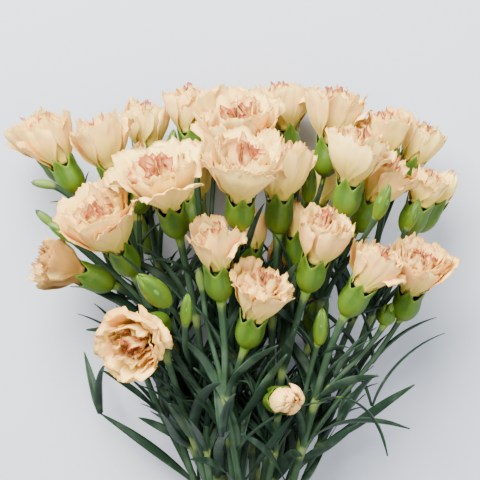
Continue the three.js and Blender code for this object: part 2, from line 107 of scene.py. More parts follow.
# %% A number socket, and a helper that adds nodes
class Number:
    def __init__(self, maker, socket):
        self.maker = maker
        self.socket = socket

    def __add__(self, other):
        return self.maker.math("ADD", self, other)

    def __sub__(self, other):
        return self.maker.math("SUBTRACT", self, other)

    def __rsub__(self, other):
        return self.maker.math("SUBTRACT", other, self)

    def __mul__(self, other):
        return self.maker.math("MULTIPLY", self, other)

    def __truediv__(self, other):
        return self.maker.math("DIVIDE", self, other)

    def __rtruediv__(self, other):
        return self.maker.math("DIVIDE", other, self)

    def __pow__(self, other):
        return self.maker.math("POWER", self, other)

    __radd__ = __add__
    __rmul__ = __mul__


class Maker:
    def __init__(self, tree):
        self.tree = tree

    def node(self, kind, settings=None, inputs=None):
        made = self.tree.nodes.new(kind)
        for name, value in (settings or {}).items():
            setattr(made, name, value)
        for name, value in (inputs or {}).items():
            value = value.socket if isinstance(value, Number) else value
            if isinstance(value, bpy.types.NodeSocket):
                self.tree.links.new(value, made.inputs[name])
            else:
                made.inputs[name].default_value = value
        return made

    def number(self, socket):
        return Number(self, socket)

    def math(self, operation, *values):
        made = self.node("ShaderNodeMath", {"operation": operation}, dict(enumerate(values)))
        return Number(self, made.outputs[0])

    def ease(self, value, low, high, to_low=0.0, to_high=1.0):
        """A smooth step from to_low to to_high as value goes from low to high."""
        made = self.node(
            "ShaderNodeMapRange",
            {"interpolation_type": "SMOOTHSTEP"},
            {"Value": value, "From Min": low, "From Max": high, "To Min": to_low, "To Max": to_high},
        )
        return Number(self, made.outputs["Result"])


# %% [markdown]
# ## Running a geometry node tree
#
# A tree has named inputs. A modifier holds a value for each, under the input's identifier. The result
# is copied to a plain mesh, which is then moved to its place, and the modifiers are thrown away. Every
# tree here starts from flat sheets and ends in the same way, so both ends are helpers.


# %% Start a tree, and end it
def new_tree(name, inputs):
    """A tree with named inputs, of which the last is the finish that it paints its mesh with."""
    inputs = {**inputs, "Finish": "Material"}
    tree = bpy.data.node_groups.new(name, "GeometryNodeTree")
    tree.interface.new_socket("Geometry", in_out="OUTPUT", socket_type="NodeSocketGeometry")
    for input_name, kind in inputs.items():
        tree.interface.new_socket(input_name, in_out="INPUT", socket_type="NodeSocket" + kind)
    maker = Maker(tree)
    source = maker.node("NodeGroupInput")
    return maker, {name: maker.number(source.outputs[name]) for name in inputs}


def finish_tree(maker, geometry, finish):
    smooth = maker.node("GeometryNodeSetShadeSmooth", inputs={"Geometry": geometry})
    real = maker.node("GeometryNodeRealizeInstances", inputs={"Geometry": smooth.outputs[0]})
    painted = maker.node(
        "GeometryNodeSetMaterial",
        inputs={"Geometry": real.outputs[0], "Material": finish},
    )
    maker.node("NodeGroupOutput", inputs={0: painted.outputs[0]})
    return maker.tree


# %% Flat sheets, numbered copies of them, and what is stored on them
def flat_sheet(maker, columns, rows, width=2.0):
    """A grid, and two numbers that run over it: across, with 0 in the middle, and along from 0 to 1."""
    grid = maker.node(
        "GeometryNodeMeshGrid",
        inputs={"Size X": width, "Size Y": 1.0, "Vertices X": columns, "Vertices Y": rows},
    )
    where = maker.node("GeometryNodeInputPosition").outputs[0]
    place = maker.node("ShaderNodeSeparateXYZ", inputs={0: where})
    along = maker.number(place.outputs["Y"]) + 0.5
    return grid.outputs["Mesh"], maker.number(place.outputs["X"]), along


def store(maker, geometry, attributes):
    """Keeps numbers on the mesh under their names, for a material or a later node to read."""
    for name, value in attributes.items():
        stored = maker.node(
            "GeometryNodeStoreNamedAttribute",
            {"data_type": "FLOAT", "domain": "POINT"},
            {"Geometry": geometry, "Name": name, "Value": value},
        )
        geometry = stored.outputs[0]
    return geometry


def numbered_copies(maker, sheet, count):
    """Real copies of a sheet, and the number of the copy that each corner is on."""
    points = maker.node("GeometryNodePoints", inputs={"Count": count})
    index = maker.node("GeometryNodeInputIndex")
    numbered = store(maker, points.outputs[0], {"copy": index.outputs[0]})
    copies = maker.node(
        "GeometryNodeInstanceOnPoints",
        inputs={"Points": numbered, "Instance": sheet},
    )
    real = maker.node("GeometryNodeRealizeInstances", inputs={"Geometry": copies.outputs[0]})
    read = maker.node("GeometryNodeInputNamedAttribute", {"data_type": "FLOAT"}, {"Name": "copy"})
    return real.outputs[0], maker.number(read.outputs["Attribute"])


def random_share(maker, number, seed, low, high):
    """A number between low and high for each copy, fixed by the seed."""
    made = maker.node("FunctionNodeRandomValue", {"data_type": "FLOAT"}, {"ID": number, "Seed": seed})
    made.inputs[2].default_value = low
    made.inputs[3].default_value = high
    return maker.number(made.outputs[1])


def bend_round_axis(maker, geometry, out, angle, up, aside=None):
    """Moves each corner out from the axis, round it and up it, and aside from where that leads."""
    cosine, sine = maker.math("COSINE", angle), maker.math("SINE", angle)
    x, y = out * cosine, out * sine
    if aside is not None:
        x, y = x - aside * sine, y + aside * cosine
    position = maker.node("ShaderNodeCombineXYZ", inputs={"X": x, "Y": y, "Z": up})
    bent = maker.node(
        "GeometryNodeSetPosition",
        inputs={"Geometry": geometry, "Position": position.outputs[0]},
    )
    return bent.outputs[0]


# %% Turn a tree's result into a mesh
def mesh_from_tree(tree, values, name, place, thickness, finish):
    """Runs a tree in an empty object, gives its sheets a wall, and moves the plain mesh to its place."""
    values = {**values, "Finish": finish}
    holder = bpy.data.objects.new(name + "_maker", bpy.data.meshes.new(name + "_maker"))
    bpy.context.scene.collection.objects.link(holder)
    grower = holder.modifiers.new("grow", "NODES")
    grower.node_group = tree
    for item in tree.interface.items_tree:
        if item.in_out == "INPUT":
            grower[item.identifier] = values[item.name]
    wall = holder.modifiers.new("wall", "SOLIDIFY")
    wall.thickness = thickness
    wall.offset = 0.0
    wall.use_even_offset = False
    mesh = plain_mesh(holder)
    mesh.transform(place)
    mesh.name = name
    return mesh


def plain_mesh(holder):
    """The mesh that an object's modifiers or its curve come to. The object is thrown away."""
    bpy.context.view_layer.update()
    evaluated = holder.evaluated_get(bpy.context.evaluated_depsgraph_get())
    mesh = bpy.data.meshes.new_from_object(evaluated)
    bpy.data.objects.remove(holder)
    return mesh


# %% Settle a mesh on the table, and add it to the bunch
LOW = 0.6 * MM
HIGH = cad_box[1].z - 4 * MM
PRESSED = 0.02  # what is left of a height below LOW
DRAWN_DOWN = 0.4  # what is left of a height above HIGH


def settle(mesh):
    """Presses what would go through the table flat on it, and draws the highest petals down a little."""
    corners = np.empty(3 * len(mesh.vertices))
    mesh.vertices.foreach_get("co", corners)
    z = corners[2::3]
    z[:] = np.where(z < LOW, LOW + (z - LOW) * PRESSED, z)
    z[:] = np.where(z > HIGH, HIGH + (z - HIGH) * DRAWN_DOWN, z)
    mesh.vertices.foreach_set("co", corners)
    mesh.update()


def add_piece(name, mesh, material, replaced=()):
    settle(mesh)
    piece = bpy.data.objects.new(name, mesh)
    bpy.context.scene.collection.objects.link(piece)
    mesh.materials.clear()
    mesh.materials.append(material)
    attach(piece, "root")
    if replaced:
        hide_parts(*replaced)
    return piece


print("heights kept between", round(LOW / MM, 1), "and", round(HIGH / MM, 1), "mm")

# %% [markdown]
# ## Where each flower is
#
# A flower's CAD body is turned on a lathe, with seven sides. Only the two ends of its axis are corners
# where seven faces meet. The flat end sits on the calyx, and the other end is the flower's top. These
# two corners and the widest ring give the flower's base, its direction, its height and its width.


# %% Read each flower's base, direction and size from its CAD body
LATHE_SIDES = 7
WELD = 0.01 * MM
TOP_SINK = 0.94  # the lathe's last corner is this share of the flower's height


def merged_copy(node):
    made = bmesh.new()
    made.from_mesh(nodes[node].data)
    bmesh.ops.remove_doubles(made, verts=made.verts, dist=WELD)
    return made


def flower_facts(node):
    body = merged_copy(node)
    ends = [v for v in body.verts if len(v.link_edges) == LATHE_SIDES]

    def hollow(end):
        ring = [edge.other_vert(end).co for edge in end.link_edges]
        return (sum(ring, Vector()) / len(ring) - end.co).length

    base, top = sorted(ends, key=hollow)[:2]
    axis = (top.co - base.co).normalized()
    height = (top.co - base.co).length / TOP_SINK
    radius = max((v.co - base.co).cross(axis).length for v in body.verts)
    facts = {"node": node, "base": base.co.copy(), "axis": axis, "height": height, "radius": radius}
    body.free()
    return facts


flowers = [flower_facts(name) for name in sorted(nodes) if "petals" in name]
for facts in flowers[:3]:
    width, height = 2 * facts["radius"] / MM, facts["height"] / MM
    print(facts["node"], "width", round(width, 1), "mm, height", round(height, 1), "mm")


def standing_at(base, axis, turn=0.0):
    """The matrix that stands a piece made around +Z on a base, along an axis."""
    return (
        Matrix.Translation(base)
        @ axis.to_track_quat("Z", "Y").to_matrix().to_4x4()
        @ Matrix.Rotation(turn, 4, "Z")
    )


# %% [markdown]
# ## Petals
#
# A carnation has one ring of broad guard petals, and inside it ever more crumpled ones, up to some
# forty in all. Each leaves the calyx by a narrow claw, opens into a fan, and ends in a fine saw-toothed
# rim. They could be modelled one by one, or scattered. The flower follows a rule, though: each petal
# stands a golden angle on from the last and a little further in. So one tree makes them all. A flat
# sheet is a petal, with u across it and v from claw to rim, and Set Position bends every copy by its
# number. The petals' outermost surface is the CAD body's, so the flower keeps its size.

# %% How petals grow
GOLDEN_ANGLE = math.radians(137.508)
RIM_TEETH = 14
ROWS = 14
IN_CALYX = 0.11  # the share of a petal's length that the calyx holds upright
GUARD_WRAP = 0.82  # how far a guard petal reaches round the flower to each side, in radians
WIDEST_WRAP = 1.5
CLAW_WRAP = 0.35  # the claw's share of that
CROWDING = 1.7  # above 1, more petals stand close to the axis
OVERLAP = 0.055  # each petal lies over its neighbour on one side
CURL_START = 0.62  # where along a petal its rim starts to roll out
SIDE_DROP = 0.16  # how much lower a petal's sides are than its middle
TOOTH_DEPTH = 0.05  # a share of the flower's radius
RIM_ROW = 0.97  # beyond this share of the length is the rim's own row of corners
THINNEST = 0.2 * MM  # petals come no nearer to the axis


# %% The bloom tree
def build_bloom_tree():
    sizes = ("Radius", "Height", "Neck", "Closing", "Shoulder", "Curl", "Ruffle", "Twist", "Hue", "Age")
    inputs = {"Petals": "Int", **{size: "Float" for size in sizes}, "Seed": "Int"}
    maker, given = new_tree("bloom", inputs)
    sheet, u, v = flat_sheet(maker, 2 * RIM_TEETH + 1, ROWS)
    sheets, petal = numbered_copies(maker, sheet, given["Petals"])

    def chance(low, high, offset):
        return random_share(maker, petal, given["Seed"] + offset, low, high)

    radius, height = given["Radius"], given["Height"]
    share = (1 - petal / given["Petals"]) ** 0.5  # 1 for a guard petal, near 0 at the heart
    inner = 1 - share
    phase = chance(0, 6.28, 7)

    def noise_along(x, y, scale, detail):
        """Noise from -0.5 to 0.5 that runs smoothly over a petal and differs from petal to petal."""
        spot = maker.node(
            "ShaderNodeCombineXYZ",
            inputs={"X": x + phase, "Y": y, "Z": petal * 5.7 + given["Seed"]},
        )
        made = maker.node(
            "ShaderNodeTexNoise",
            inputs={"Vector": spot.outputs[0], "Scale": scale, "Detail": detail},
        )
        return maker.number(made.outputs[0]) - 0.5

    # Round the flower's axis: a fan on a narrow claw, wrapped further round the nearer it is to the axis.
    wrap = maker.math("MINIMUM", GUARD_WRAP / share, WIDEST_WRAP) * chance(0.85, 1.15, 1)
    fan = maker.ease(v, 0.0, 0.6, CLAW_WRAP, 1.0)
    angle = petal * GOLDEN_ANGLE + chance(-0.25, 0.25, 2) + u * wrap * fan + given["Twist"] * v * inner

    # Out from the axis: straight up inside the calyx, then to a full belly, and in again as far as
    # the flower is closed. A flower that is just opening draws in to a point.
    free = maker.math("MAXIMUM", v - IN_CALYX, 0.0) / (1 - IN_CALYX)
    belly = maker.math("SINE", (free**0.85) * given["Closing"] * chance(0.9, 1.08, 9) * math.pi)
    shut = maker.ease(given["Closing"], 0.7, 0.9) * maker.ease(v, 0.3, 1.0)
    claw = given["Neck"] * (0.25 + 0.75 * share) * (1 - shut)
    reach = radius * (share**CROWDING) * chance(0.93, 1.05, 3)
    out = (claw + (reach - claw) * belly) * (1 + OVERLAP * u)

    # The rim rolls out, and on a few petals flops right over.
    flop = chance(0.0, 1.0, 4) ** 2
    roll = maker.math("MAXIMUM", v - CURL_START, 0.0) ** 1.4
    out = out + radius * roll * given["Curl"] * (0.2 + share) * (0.3 + 2.2 * flop)

    # Up the axis: the heart stands higher than the guard petals, and each petal's rim is ragged.
    top = height * (given["Shoulder"] + (1 - given["Shoulder"]) * (1 - share * share))
    ragged = 1 + noise_along(u * 2.2, 0.0, 1.0, 2.0) * (0.5 + 0.6 * inner)
    top = top * chance(0.84, 1.06, 5) * (1 - SIDE_DROP * u**4) * ragged
    up = top * v - height * given["Curl"] * 0.5 * flop * share * (v**4)

    # Ruffles: long waves along the rim, pleats, and crumples from noise.
    amount = radius * given["Ruffle"] * (0.5 + 1.2 * inner) * v * v
    waves = u * chance(1.2, 2.8, 6) * math.pi
    pleat = maker.math("ABSOLUTE", maker.math("SINE", waves * 1.7 + phase * 3.0))
    crumple = noise_along(u * 1.4, v * 1.8, 1.6, 2.0)
    out = out + amount * maker.math("SINE", waves + phase)
    out = out - amount * (0.3 + 1.5 * inner) * pleat * v + amount * 4.0 * crumple
    up = up + amount * v * 0.7 * maker.math("COSINE", waves * 1.3 + phase * 2.0)
    angle = angle + crumple * 1.3 * v * (0.15 + inner)

    # The saw teeth are every second corner of the rim.
    tooth = maker.math("COSINE", (u + 1) * (RIM_TEETH * math.pi)) * maker.math("GREATER_THAN", v, RIM_ROW)
    up = up + tooth * radius * TOOTH_DEPTH * (0.5 + noise_along(u * 5.0, 3.0, 1.0, 1.0) * 2.5)
    out = maker.math("MAXIMUM", out, THINNEST)

    stored = {"along": v, "across": u, "depth": inner, "tint": chance(0, 1, 8)}
    sheets = store(maker, sheets, {**stored, "hue": given["Hue"], "age": given["Age"]})
    return finish_tree(maker, bend_round_axis(maker, sheets, out, angle, up), given["Finish"])


bloom_tree = build_bloom_tree()
print("bloom tree:", len(bloom_tree.nodes), "nodes")

# %% [markdown]
# ## The petals' colour
#
# The blooms are peach and cream. A petal is yellow-green at its claw, cream over most of its blade, and
# has a thin pale rim. Towards the heart the rims turn pink and then red-brown. The olive that runs far
# up from each claw, and the pink over the petals at the heart, are each partly that colour and partly
# painted shade, for the shade deep among the petals. Light passes through a petal, so a share of the
# shader is translucent. A painted pattern would need an image. The numbers that the tree stored on
# each petal say where a colour belongs just as well, and need none.


# %% Helpers for materials
def new_material(name):
    material = bpy.data.materials.new(name)
    material.use_nodes = True
    material.node_tree.nodes.clear()
    return material, Maker(material.node_tree)


def attribute(maker, name):
    made = maker.node("ShaderNodeAttribute", {"attribute_type": "GEOMETRY", "attribute_name": name})
    return maker.number(made.outputs["Fac"])


def blend(maker, share, first, second):
    """A mix of two colours, each a socket or three numbers."""
    first, second = (c if isinstance(c, bpy.types.NodeSocket) else (*c, 1.0) for c in (first, second))
    made = maker.node("ShaderNodeMix", {"data_type": "RGBA"}, {0: share, 6: first, 7: second})
    return made.outputs[2]


def noise_on(maker, scale, detail=3.0):
    where = maker.node("ShaderNodeTexCoord").outputs["Object"]
    made = maker.node("ShaderNodeTexNoise", inputs={"Vector": where, "Scale": scale, "Detail": detail})
    return maker.number(made.outputs[0])


def principled(maker, colour, relief, strength, depth, settings):
    """A surface of one colour with a relief in it. The relief is a number that stands for height."""
    bump = maker.node("ShaderNodeBump", inputs={"Strength": strength, "Distance": depth, "Height": relief})
    inputs = {"Base Color": colour, "Normal": bump.outputs[0], **settings}
    return maker.node("ShaderNodeBsdfPrincipled", inputs=inputs).outputs[0]


def end_material(maker, surface):
    maker.node("ShaderNodeOutputMaterial", inputs={0: surface})
    print(maker.tree.name, "has", len(maker.tree.nodes), "nodes")


# %% Petal material
CREAM = (1.0, 0.74, 0.24)
PALE_RIM = (1.0, 0.83, 0.31)
PEACH = (1.0, 0.56, 0.18)
HEART_PINK_AND_PAINTED_SHADE = (0.92, 0.40, 0.20)
EDGE_RED = (0.32, 0.035, 0.012)
EDGE_TAN = (0.66, 0.34, 0.05)
STRAW = (0.90, 0.66, 0.13)
WITHERED = (0.34, 0.15, 0.03)
CLAW_OLIVE_AND_PAINTED_SHADE = (0.72, 0.58, 0.08)
SHINE_THROUGH = (1.0, 0.68, 0.24, 1.0)
TRANSLUCENT_SHARE = 0.2


def petal_material():
    material, maker = new_material("petal")
    along, depth = attribute(maker, "along"), attribute(maker, "depth")
    across, tint = attribute(maker, "across"), attribute(maker, "tint")
    hue, age = attribute(maker, "hue"), attribute(maker, "age")
    mottle, stain = noise_on(maker, 160.0), noise_on(maker, 70.0)

    warm = maker.ease(hue + tint * 0.35 + mottle * 0.8, 0.7, 1.5, 0.0, 0.9)
    straw = maker.ease(stain, 0.46, 0.64, 0.0, 0.65)
    # The heart's petals are pink, and the deeper pink there is also painted shade, for the shade deep among
    # the petals.
    heart_pink_and_shade = maker.ease(depth, 0.35, 0.85, 0.0, 0.6)  # the heart is pink
    # The claw is really yellow-green, but the olive that reaches far up the blade is painted shade, for the
    # shade deep among the petals.
    claw = maker.ease(along, 0.1, 0.72, 1.0, 0.0)
    rim = maker.ease(along, 0.78, 0.95, 0.0, 0.75)
    dry = maker.ease(along, 0.9, 1.0) * maker.ease(mottle + tint * 0.3, 0.35, 0.65, 0.3, 0.95)
    edge = maker.ease(along, 0.84, 1.0) * maker.ease(depth + mottle * 0.6, 0.55, 0.85, 0.0, 0.95)
    wilt = age * maker.ease(stain + tint * 0.2, 0.42, 0.62, 0.15, 0.9)

    colour = blend(maker, warm, CREAM, PEACH)
    blade_washes = ((straw, STRAW), (heart_pink_and_shade, HEART_PINK_AND_PAINTED_SHADE), (claw, CLAW_OLIVE_AND_PAINTED_SHADE), (rim, PALE_RIM))
    edge_washes = ((dry, EDGE_TAN), (edge, EDGE_RED), (wilt, WITHERED))
    for share, wash in blade_washes + edge_washes:
        colour = blend(maker, share, colour, wash)

    veins = maker.math("SINE", across * 70.0 + mottle * 6.0) * 0.5 + 0.5
    looks = {"Roughness": 0.62, "Specular IOR Level": 0.2, "Sheen Weight": 0.06}
    surface = principled(maker, colour, veins, 0.25, 0.2 * MM, looks)
    through = maker.node("ShaderNodeBsdfTranslucent", inputs={"Color": SHINE_THROUGH})
    mixed = maker.node(
        "ShaderNodeMixShader",
        inputs={0: TRANSLUCENT_SHARE, 1: surface, 2: through.outputs[0]},
    )
    end_material(maker, mixed.outputs[0])
    return material


petal_finish = petal_material()

# %% [markdown]
# ## Three kinds of bloom
#
# The bunch holds open flowers, half-open ones and a few that just show colour. They are one tree with
# other numbers. An open flower has more petals that curl out, and one that is opening holds a few
# petals shut and twisted. Each flower then differs a little from the next, by draws with a fixed seed.

# %% Grow every bloom in its place
KINDS = {
    "open": {"Petals": 24, "Closing": 0.50, "Shoulder": 1.12, "Curl": 0.60, "Ruffle": 0.10, "Twist": 0.2},
    "half": {"Petals": 20, "Closing": 0.57, "Shoulder": 1.05, "Curl": 0.45, "Ruffle": 0.09, "Twist": 0.3},
    "opening": {"Petals": 12, "Closing": 0.93, "Shoulder": 0.95, "Curl": 0.05, "Ruffle": 0.04, "Twist": 1.0},
}
TALLER = {"open": 1.2, "half": 1.12, "opening": 1.05}  # petals stand past the CAD body's rounded top
NECK = 5.8 * MM  # how far from the axis the guard petals leave the calyx
SUNK = 2.5 * MM  # the petals' claws go down inside the calyx
PETAL_THICKNESS = 0.24 * MM
FULLER = 1.08  # petals stand a little past the CAD body's flat sides
SHRUNK = 0.82
BLOOM_TURN = 1.1  # how far each flower is turned from the last, so that no two face the same way

WITHERING = ("half_open_petals_03", "opening_petals_05")
PAST_ITS_BEST = "open_petals_05"  # the low flower at the side, whose petals have begun to shrink
hues = random.Random(3)

for number, facts in enumerate(flowers):
    kind = facts["node"].split("_")[0]
    values = {
        **KINDS[kind],
        "Closing": KINDS[kind]["Closing"] * hues.uniform(0.93, 1.06),
        "Petals": KINDS[kind]["Petals"] + hues.randint(-4, 3),
        "Curl": KINDS[kind]["Curl"] * hues.uniform(0.7, 1.4),
        "Ruffle": KINDS[kind]["Ruffle"] * hues.uniform(0.85, 1.35),
        "Radius": facts["radius"] * (SHRUNK if facts["node"] == PAST_ITS_BEST else FULLER),
        "Height": facts["height"] * TALLER[kind],
        "Neck": NECK,
        "Hue": hues.random(),
        "Age": 1.0 if facts["node"] in WITHERING else 0.0,
        "Seed": 11 * number + 3,
    }
    place = standing_at(facts["base"] - facts["axis"] * SUNK, facts["axis"], number * BLOOM_TURN)
    name = "bloom_" + facts["node"]
    mesh = mesh_from_tree(bloom_tree, values, name, place, PETAL_THICKNESS, petal_finish)
    add_piece(name, mesh, petal_finish, [facts["node"]])
print("blooms:", len(flowers), "last one has", len(mesh.polygons), "faces")

# %% [markdown]
# ## Calyxes
#
# The calyx is the green cup that a carnation's petals stand in. It is a barrel of five fused sepals,
# and each ends in a broad tooth that leans on the petals. Two pairs of short scales hug its base. The
# cup's rule is a lathe profile with a five-fold rim, so a tree makes it too, from a sheet that is
# wrapped into a tube. Shut buds are the same cup with its teeth drawn together.

# %% The calyx tree
SEPALS = 5
RIBS_AROUND = 60
RINGS_UP = 18
FOOT_WIDTH = 0.36  # the cup's foot, as a share of its width
TEETH_START = 0.55  # where along the cup its teeth begin to part
TOOTH_FLARE = 0.2
SEAM_DEPTH = 0.05


def build_calyx_tree():
    sizes = ("Radius", "Length", "Tooth", "Closed")
    maker, given = new_tree("calyx", {size: "Float" for size in sizes})
    radius, length, tooth, closed = (given[size] for size in sizes)
    sheet, across, v = flat_sheet(maker, RIBS_AROUND + 1, RINGS_UP, width=1.0)
    turn = across + 0.5
    angle = turn * (2 * math.pi)

    # peak is 1 on the middle of a sepal and 0 at the notch between two
    peak = 1 - maker.math("ABSOLUTE", maker.math("SINE", angle * (SEPALS / 2)))
    rise = maker.ease(v, TEETH_START, 1.0)
    up = length * v * (1 - 0.04 * rise) + tooth * rise * (peak**0.8 - 0.35)

    # An open cup flares at its teeth, and a shut one draws in to a point.
    swell = maker.math("MINIMUM", v * 2.0, 1.0) ** 0.75 * (math.pi / 2)
    barrel = FOOT_WIDTH + (1 - FOOT_WIDTH) * maker.math("SINE", swell)
    mouth = maker.ease(v, 0.5, 0.8, 1.0, 0.94) + maker.ease(v, 0.8, 1.0, 0.0, TOOTH_FLARE) * peak
    shut = maker.math("MAXIMUM", 1 - v**3.2, 0.02) ** 0.62
    seam = maker.math("ABSOLUTE", maker.math("COSINE", angle * (SEPALS / 2))) ** 6
    out = radius * barrel * (mouth * (1 - closed) + shut * closed)
    out = out * (1 - SEAM_DEPTH * seam * maker.ease(v, 0.2, 0.6))

    sheet = store(maker, sheet, {"along": v, "peak": peak, "turn": turn})
    cup = bend_round_axis(maker, sheet, out, angle, up)
    welded = maker.node("GeometryNodeMergeByDistance", inputs={"Geometry": cup, "Distance": WELD})
    return finish_tree(maker, welded.outputs[0], given["Finish"])


calyx_tree = build_calyx_tree()
print("calyx tree:", len(calyx_tree.nodes), "nodes")

# %% [markdown]
# ## The calyx's colour
#
# A calyx is waxy and green, paler and yellower at its foot, with fine streaks that run up it and thin
# light edges to its teeth. Its darker upper barrel, just under the petals, is partly painted shade, for
# the shade that the petals cast on it. A noise over the whole cup would make blotches. The noise here is
# stretched along the sepals, by the turn and the height that the tree stored, so it makes streaks.

# %% Calyx material
YOUNG_GREEN = (0.118, 0.180, 0.006)
UPPER_GREEN_AND_PAINTED_SHADE = (0.032, 0.080, 0.003)
TOOTH_GREEN = (0.088, 0.160, 0.010)
STREAKS_AROUND = 26.0


def calyx_material():
    material, maker = new_material("calyx")
    along, peak = attribute(maker, "along"), attribute(maker, "peak")
    mottle = noise_on(maker, 220.0)
    lines = maker.node(
        "ShaderNodeCombineXYZ",
        inputs={"X": attribute(maker, "turn") * STREAKS_AROUND, "Y": along * 0.7},
    )
    noise = maker.node("ShaderNodeTexNoise", inputs={"Vector": lines.outputs[0], "Scale": 1.0})
    streaks = maker.number(noise.outputs[0])
    # Paler and yellower at the foot. The darker green higher up is partly painted shade, cast by the petals.
    colour = blend(maker, maker.ease(along + streaks * 0.4, 0.15, 0.75), YOUNG_GREEN, UPPER_GREEN_AND_PAINTED_SHADE)
    colour = blend(maker, maker.ease(streaks, 0.5, 0.7, 0.0, 0.35), colour, TOOTH_GREEN)
    colour = blend(maker, maker.ease(along, 0.78, 1.0, 0.0, 0.8), colour, TOOTH_GREEN)
    colour = blend(maker, maker.ease(peak + mottle * 0.6, 0.2, 1.1, 0.45, 0.0), colour, TOOTH_GREEN)
    colour = blend(maker, maker.ease(mottle, 0.5, 0.75, 0.0, 0.35), colour, YOUNG_GREEN)
    looks = {
        "Roughness": 0.5,
        "Specular IOR Level": 0.25,
        "Subsurface Weight": 0.15,
        "Subsurface Scale": 1.5 * MM,
    }
    end_material(maker, principled(maker, colour, mottle, 0.2, 0.2 * MM, looks))
    return material


calyx_finish = calyx_material()

# %% Stand a calyx under every bloom
CALYX_LENGTH = 18 * MM
CALYX_RADIUS = 6.8 * MM
SLIMMER = 0.93  # the calyx of a flower that is just opening
TOOTH_LENGTH = 5.6 * MM
PETAL_GAP = 0.3 * MM
FOOT_OVERLAP = 0.6 * MM  # how far the cup comes down over the stalk's end
CALYX_WALL = 0.4 * MM
CALYX_TURN = 0.7

for number, facts in enumerate(flowers):
    facts["stalk_end"] = facts["base"] - facts["axis"] * (CALYX_LENGTH + PETAL_GAP)
    values = {
        "Radius": CALYX_RADIUS * (SLIMMER if facts["node"].startswith("opening") else 1.0),
        "Length": CALYX_LENGTH - FOOT_OVERLAP,
        "Tooth": TOOTH_LENGTH,
        "Closed": 0.0,
    }
    foot = facts["stalk_end"] - facts["axis"] * FOOT_OVERLAP
    place = standing_at(foot, facts["axis"], number * CALYX_TURN)
    mesh = mesh_from_tree(calyx_tree, values, "calyx", place, CALYX_WALL, calyx_finish)
    add_piece("calyx_" + facts["node"], mesh, calyx_finish)
print("calyxes:", len(flowers))

# %% [markdown]
# ## Stems and leaves
#
# The CAD sprays have the right places, but five flat sides and hard corners. A copy of each is welded
# and its triangles are paired into quads, so that subdivision rounds it. A leaf's two sharp sides are
# creased first, or it would shrink to a cord. Rounding makes a thin stem thinner, so it is fattened
# again. Where a copy would fill a calyx, it is drawn in under the cup.

# %% Round each spray
SHARP = math.radians(80)  # a leaf's sides, and the rim of a cut end
INSIDE_CUP = 0.55  # how far the CAD body is drawn in where the calyx covers it
FATTER = 0.3 * MM  # what rounding took off a stem
THIN = 1.2 * MM  # leaves are thinner than this, and stems thicker
CUP_REACH = 7.4 * MM  # what is nearer to a calyx's axis belongs to the calyx
CUP_ENDS = (-0.06, 1.05)  # and how far along the axis, as shares of its length
CUP_START = 0.02  # from here up, the cup hides the CAD body
GIRTH_REACH = 2.2 * MM  # a corner takes the greatest girth this near to it
FARTHEST = 30 * MM
SKIN = 0.02 * MM

calyx_axes = [(facts["stalk_end"], facts["base"]) for facts in flowers]


def near_calyx(point, reach=CUP_REACH):
    """The nearest point on a calyx's axis, and how far along it is, or None."""
    for low, high in calyx_axes:
        span = high - low
        share = (point - low).dot(span) / span.length_squared
        if CUP_ENDS[0] < share < CUP_ENDS[1]:
            foot = low + span * share
            if (point - foot).length < reach:
                return foot, share
    return None


def girth_at(tree, point, normal):
    """The width of the largest ball that fits in the body and touches it at a point of its surface."""
    through = tree.ray_cast(point - normal * SKIN, -normal, FARTHEST)[3] or 0.0
    return 2 * min(through / 2, tree.find_nearest(point - normal * through / 2)[3])


def rounded_spray(node):
    body = merged_copy(node)
    bmesh.ops.dissolve_degenerate(body, edges=body.edges, dist=SKIN)
    bmesh.ops.join_triangles(
        body,
        faces=body.faces,
        angle_face_threshold=math.radians(40),
        angle_shape_threshold=math.radians(60),
    )
    crease = body.edges.layers.float.new("crease_edge")
    for edge in body.edges:
        if len(edge.link_faces) == 2 and edge.calc_face_angle(0) > SHARP:
            edge[crease] = 1.0
    mesh = bpy.data.meshes.new("stems")
    body.to_mesh(mesh)
    body.free()
    holder = bpy.data.objects.new("stems_maker", mesh)
    bpy.context.scene.collection.objects.link(holder)
    rounder = holder.modifiers.new("round", "SUBSURF")
    rounder.levels = rounder.render_levels = 2
    return plain_mesh(holder)


def dress_spray(node):
    """A spray's rounded mesh, which knows its own girth everywhere, and the shut buds on it."""
    mesh = rounded_spray(node)
    places = [v.co.copy() for v in mesh.vertices]
    normals = [v.normal.copy() for v in mesh.vertices]
    tree = BVHTree.FromPolygons(places, [tuple(p.vertices) for p in mesh.polygons])
    girths = np.array([girth_at(tree, p, n) for p, n in zip(places, normals)])
    shut = find_buds(places, girths, tree)
    for vertex, place, normal, girth in zip(mesh.vertices, places, normals, girths):
        cup = near_calyx(place)
        if cup and cup[1] > CUP_START:
            vertex.co = cup[0] + (place - cup[0]) * INSIDE_CUP
        elif girth > THIN:
            vertex.co = place + normal * FATTER
    lookup = KDTree(len(places))
    for i, place in enumerate(places):
        lookup.insert(place, i)
    lookup.balance()
    near = [lookup.find_range(place, GIRTH_REACH) for place in places]
    thickest = [max(girths[i] for _, i, _ in around) for around in near]
    stored = mesh.attributes.new("girth", "FLOAT", "POINT")
    stored.data.foreach_set("value", np.array(thickest, dtype=np.float32) / MM)
    mesh.polygons.foreach_set("use_smooth", [True] * len(mesh.polygons))
    return mesh, shut


# %% [markdown]
# ## The colour of stems and leaves
#
# Stems and leaves are dark green under a blue-grey bloom of wax. The swollen joints and the shut buds
# are paler. One body holds them all, so it could be cut into parts with a material each. It isn't cut:
# the girth stored on it tells a thin leaf from a stem, a stem from a joint, and a joint from a bud.

# %% Foliage material
STEM_DARK = (0.019, 0.045, 0.019)
BLADE = (0.009, 0.025, 0.012)
WAXY = (0.050, 0.086, 0.050)
NODE_PALE = (0.11, 0.16, 0.04)
BUD_GREEN = (0.10, 0.20, 0.02)


